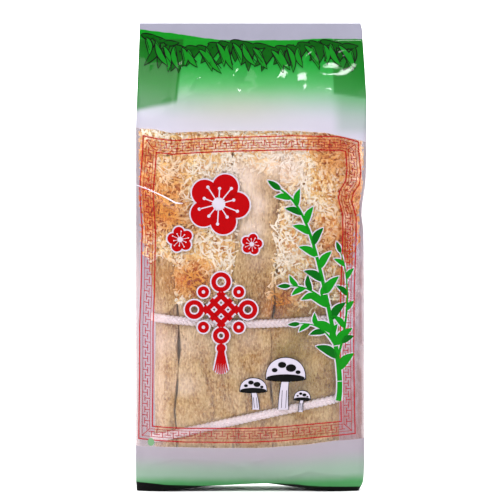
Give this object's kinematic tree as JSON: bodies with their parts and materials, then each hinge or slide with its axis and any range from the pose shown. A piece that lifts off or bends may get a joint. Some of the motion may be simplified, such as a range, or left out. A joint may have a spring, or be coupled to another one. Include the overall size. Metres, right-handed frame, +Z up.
{
  "type": "film pack of dried bamboo fungus",
  "caption": "Standing side-gusset film pack with a clear window, holding a cord-tied bundle of dried bamboo fungus with pitted stems and net skirts.",
  "frame": {"origin": "middle of the pack's base, on the surface that it stands on", "axes": "+Z up the pack, its printed front faces -Y, +X to the right seen from the front"},
  "size_m": [0.148, 0.048, 0.3],
  "materials": {
    "printed_film": "clear glossy film, printed green and white at the top and white below",
    "dried_fungus": "dry, matt, pitted and fibrous",
    "braided_cord": "soft white braid"
  },
  "bodies": {
    "root": {"film_pack": "printed_film", "front_fungus_1": "dried_fungus", "front_fungus_2": "dried_fungus", "front_fungus_3": "dried_fungus", "front_fungus_4": "dried_fungus", "middle_fungus_1": "dried_fungus", "middle_fungus_2": "dried_fungus", "middle_fungus_3": "dried_fungus", "middle_fungus_4": "dried_fungus", "back_fungus_1": "dried_fungus", "back_fungus_2": "dried_fungus", "back_fungus_3": "dried_fungus", "back_fungus_4": "dried_fungus", "upper_tie": "braided_cord", "lower_tie": "braided_cord"}
  },
  "joints": []
}
